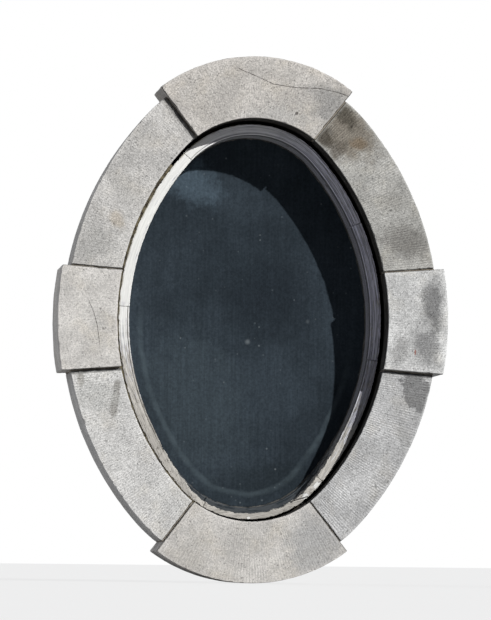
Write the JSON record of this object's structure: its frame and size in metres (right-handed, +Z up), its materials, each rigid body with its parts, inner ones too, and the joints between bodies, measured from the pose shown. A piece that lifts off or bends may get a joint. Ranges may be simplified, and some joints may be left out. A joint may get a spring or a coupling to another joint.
{
  "type": "oval porthole window",
  "caption": "Upright oval fixed window: a ring of dressed stones with four proud keystones round a set-back painted timber ring and one pane.",
  "frame": {"origin": "the oval opening's centre, in the plane of the curved stones' face, which is the wall's face", "axes": "+Z up along the oval, +X to the right as seen from outside, +Y into the wall, so the front looks along -Y"},
  "size_m": [0.932, 0.32, 1.2564],
  "materials": {
    "limestone": "tooled and weathered",
    "mortar": "raked and grimy",
    "iron": "rusty",
    "lead": "dull",
    "painted_timber": "peeling white paint",
    "room_side_timber": "old white paint",
    "bare_timber": "bare",
    "putty": "dry",
    "glass": "dusty",
    "steel": "dull",
    "filler": "rough"
  },
  "bodies": {
    "root": {"back_putty": "putty", "bead_pins": "steel", "bottom_keystone": "limestone", "cramp_lead": "lead", "face_ring_bottom": "painted_timber", "face_ring_lower_left": "painted_timber", "face_ring_lower_right": "painted_timber", "face_ring_right": "painted_timber", "face_ring_top": "painted_timber", "face_ring_upper_left": "painted_timber", "fixing_screws": "steel", "front_putty": "putty", "gap_filler": "filler", "glass_pane": "glass", "glazing_bead_bottom": "room_side_timber", "glazing_bead_left": "room_side_timber", "glazing_bead_right": "room_side_timber", "glazing_bead_top": "room_side_timber", "glazing_ring_left": "room_side_timber", "glazing_ring_lower_left": "room_side_timber", "glazing_ring_lower_right": "room_side_timber", "glazing_ring_right": "room_side_timber", "glazing_ring_screws": "steel", "glazing_ring_upper_left": "room_side_timber", "glazing_ring_upper_right": "room_side_timber", "iron_cramps": "iron", "left_keystone": "limestone", "lower_left_stone": "limestone", "lower_right_stone": "limestone", "mortar_bottom_key_left": "mortar", "mortar_bottom_key_right": "mortar", "mortar_left_key_lower": "mortar", "mortar_left_key_upper": "mortar", "mortar_right_key_lower": "mortar", "mortar_right_key_upper": "mortar", "mortar_top_key_left": "mortar", "mortar_top_key_right": "mortar", "packers": "bare_timber", "right_keystone": "limestone", "second_ring_left": "painted_timber", "second_ring_lower_left": "painted_timber", "second_ring_lower_right": "painted_timber", "second_ring_right": "painted_timber", "second_ring_screws": "steel", "second_ring_upper_left": "painted_timber", "second_ring_upper_right": "painted_timber", "setting_blocks": "bare_timber", "third_ring_bottom": "painted_timber", "third_ring_lower_left": "painted_timber", "third_ring_lower_right": "painted_timber", "third_ring_right": "painted_timber", "third_ring_screws": "steel", "third_ring_top": "painted_timber", "third_ring_upper_left": "painted_timber", "top_keystone": "limestone", "upper_left_stone": "limestone", "upper_right_stone": "limestone", "wall_plugs": "bare_timber"}
  },
  "joints": []
}
